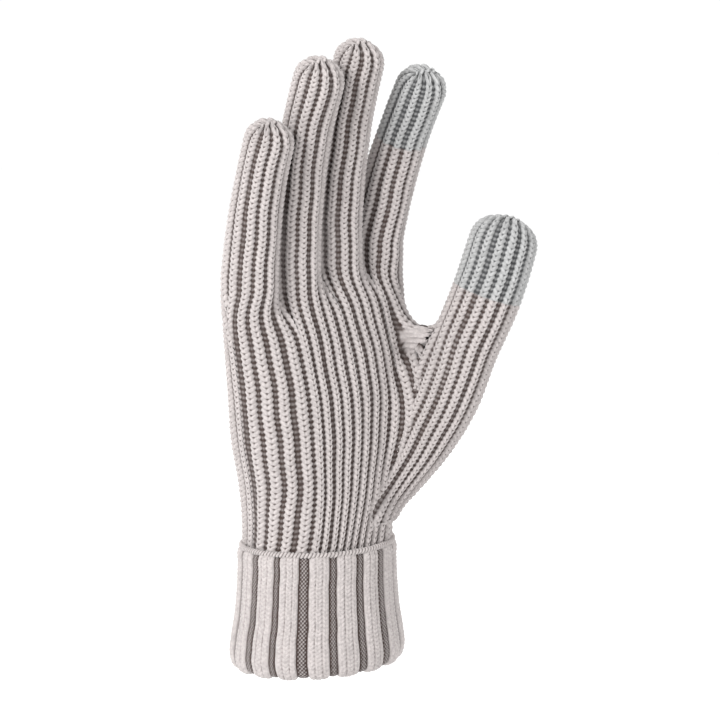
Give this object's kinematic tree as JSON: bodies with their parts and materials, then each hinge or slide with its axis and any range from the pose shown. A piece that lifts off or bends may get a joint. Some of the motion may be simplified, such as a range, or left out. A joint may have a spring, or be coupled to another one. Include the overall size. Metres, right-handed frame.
{
  "type": "knitted glove",
  "caption": "Ribbed knit glove for the right hand with a turned-up cuff, bending fingers and pale grey touch-screen yarn on the index finger and thumb tips.",
  "frame": {"origin": "centre of the hand opening at the cuff's lower rim", "axes": "+Z towards the fingertips, -Y out of the palm, +X towards the thumb"},
  "size_m": [0.1133, 0.0786, 0.2421],
  "materials": {
    "main_yarn": "ribbed heathered pinkish grey yarn, matt and slightly fuzzy",
    "cuff_rib": "broad ribbed heathered pinkish grey yarn, matt and slightly fuzzy",
    "touch_yarn": "cool pale grey conductive yarn, matt with a faint sheen"
  },
  "bodies": {
    "cuff": {"cuff_sleeve": "cuff_rib", "wrist_band": "main_yarn"},
    "turned_cuff": {"cuff_turn_up": "cuff_rib", "cuff_edge": "cuff_rib"},
    "hand": {"hand_body": "main_yarn", "thumb_gusset": "main_yarn", "crotch_stitch_little_ring": "main_yarn", "crotch_stitch_ring_middle": "main_yarn", "crotch_stitch_middle_index": "main_yarn", "crotch_stitch_thumb": "main_yarn"},
    "little_lower": {"little_finger_lower": "main_yarn"},
    "little_upper": {"little_finger_upper": "main_yarn", "little_tip_closure": "main_yarn"},
    "ring_lower": {"ring_finger_lower": "main_yarn"},
    "ring_upper": {"ring_finger_upper": "main_yarn", "ring_tip_closure": "main_yarn"},
    "middle_lower": {"middle_finger_lower": "main_yarn"},
    "middle_upper": {"middle_finger_upper": "main_yarn", "middle_tip_closure": "main_yarn"},
    "index_lower": {"index_finger_lower": "main_yarn"},
    "index_upper": {"index_touch_tip": "touch_yarn", "index_tip_closure": "touch_yarn"},
    "thumb_lower": {"thumb_lower": "main_yarn"},
    "thumb_upper": {"thumb_touch_tip": "touch_yarn", "thumb_tip_closure": "touch_yarn"}
  },
  "joints": [
    {"name": "wrist_bend", "type": "hinge", "parent": "cuff", "child": "hand", "pos_m": [0, 0, 0.062], "axis": [1, 0, 0], "range_deg": [-25, 25], "deforming": ["wrist_band"]},
    {"name": "cuff_unroll", "type": "slide", "parent": "cuff", "child": "turned_cuff", "axis": [0, 0, -1], "range_m": [0, 0.045]},
    {"name": "little_root_bend", "type": "hinge", "parent": "hand", "child": "little_lower", "pos_m": [-0.03, -0.0126, 0.1535], "axis": [1, 0, 0], "range_deg": [0, 80]},
    {"name": "little_knuckle_bend", "type": "hinge", "parent": "little_lower", "child": "little_upper", "pos_m": [-0.02929, -0.01425, 0.17837], "axis": [0.9997, 0.0062, -0.0243], "range_deg": [0, 90]},
    {"name": "ring_root_bend", "type": "hinge", "parent": "hand", "child": "ring_lower", "pos_m": [-0.01, -0.0108, 0.1615], "axis": [1, 0, 0], "range_deg": [0, 80]},
    {"name": "ring_knuckle_bend", "type": "hinge", "parent": "ring_lower", "child": "ring_upper", "pos_m": [-0.00967, -0.01424, 0.19307], "axis": [1, 0.0026, -0.0089], "range_deg": [0, 90]},
    {"name": "middle_root_bend", "type": "hinge", "parent": "hand", "child": "middle_lower", "pos_m": [0.01, -0.0093, 0.165], "axis": [1, 0, 0], "range_deg": [0, 80]},
    {"name": "middle_knuckle_bend", "type": "hinge", "parent": "middle_lower", "child": "middle_upper", "pos_m": [0.01014, -0.01249, 0.19905], "axis": [1, 0.001, -0.0037], "range_deg": [0, 90]},
    {"name": "index_root_bend", "type": "hinge", "parent": "hand", "child": "index_lower", "pos_m": [0.03, -0.0081, 0.165], "axis": [0.9945, 0, -0.1045], "range_deg": [0, 80]},
    {"name": "index_knuckle_bend", "type": "hinge", "parent": "index_lower", "child": "index_upper", "pos_m": [0.03515, -0.01516, 0.19962], "axis": [0.9963, 0.0356, -0.0787], "range_deg": [0, 80]},
    {"name": "thumb_root_bend", "type": "hinge", "parent": "hand", "child": "thumb_lower", "pos_m": [0.05007, -0.04022, 0.12207], "axis": [0.9652, 0, -0.2613], "range_deg": [0, 50]},
    {"name": "thumb_knuckle_bend", "type": "hinge", "parent": "thumb_lower", "child": "thumb_upper", "pos_m": [0.04476, -0.03836, 0.14651], "axis": [0.3454, -0.8883, -0.3028], "range_deg": [0, 40]}
  ]
}
